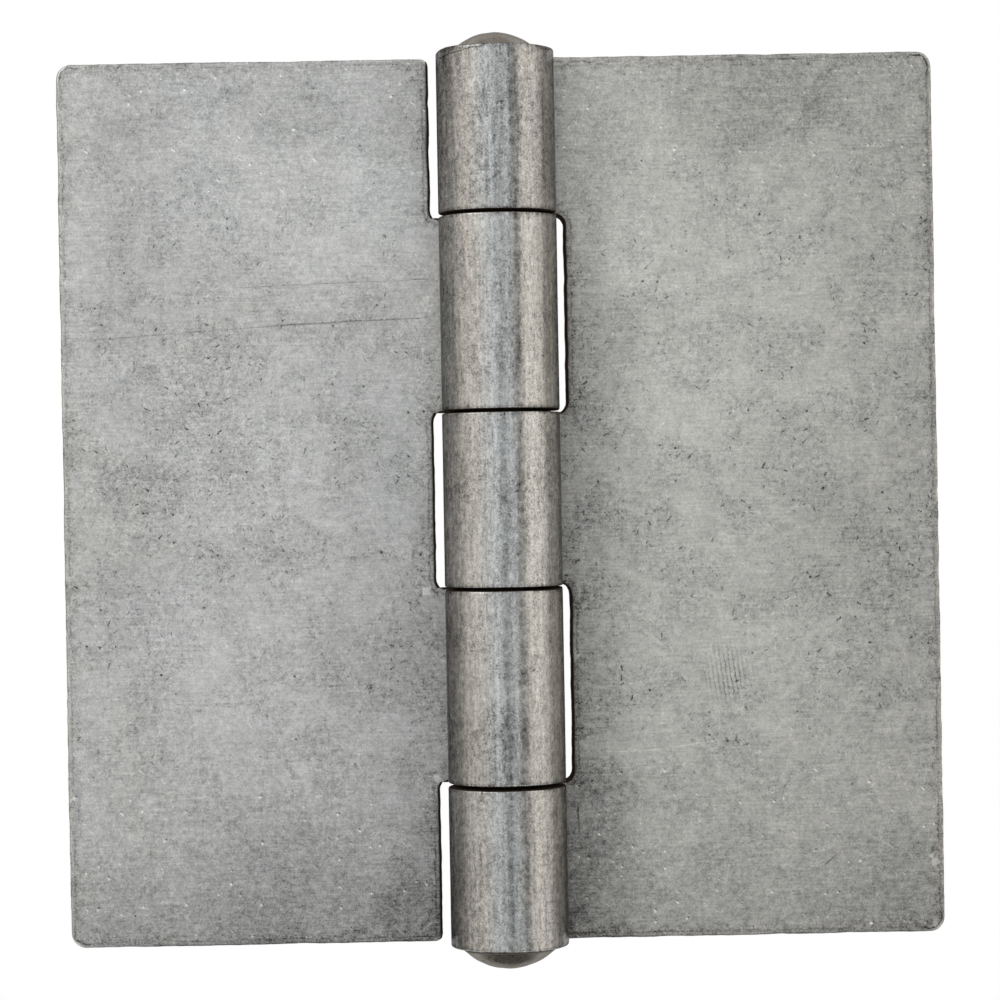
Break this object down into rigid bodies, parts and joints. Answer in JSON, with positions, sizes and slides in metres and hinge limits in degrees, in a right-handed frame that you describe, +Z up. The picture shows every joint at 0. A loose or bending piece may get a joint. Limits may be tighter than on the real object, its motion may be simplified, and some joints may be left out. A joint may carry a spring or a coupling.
{
  "type": "weld-on butt hinge",
  "caption": "Square plain-steel butt hinge without screw holes: flat leaves rolled into interleaved knuckles on a fixed riveted pin, for welding to a door or gate and its frame.",
  "frame": {"origin": "on the pin's axis, half way up the barrel", "axes": "+Z up along the pin, +X from the pin towards the frame leaf's free edge, +Y out of the weld faces at the back; the barrel stands proud towards -Y"},
  "size_m": [0.1008, 0.0135, 0.1067],
  "materials": {
    "leaf_steel": "tumbled bare mild steel, matte and mottled, with fine pits and scratches",
    "pin_steel": "tumbled bare mild steel, a little darker, with hammered heads"
  },
  "bodies": {
    "frame_side": {"frame_leaf": "leaf_steel", "hinge_pin": "pin_steel"},
    "door_side": {"door_leaf": "leaf_steel"}
  },
  "joints": [
    {"name": "leaf_swing", "type": "hinge", "parent": "frame_side", "child": "door_side", "pos_m": [0, 0, 0], "axis": [0, 0, 1], "range_deg": [-95, 185]}
  ]
}
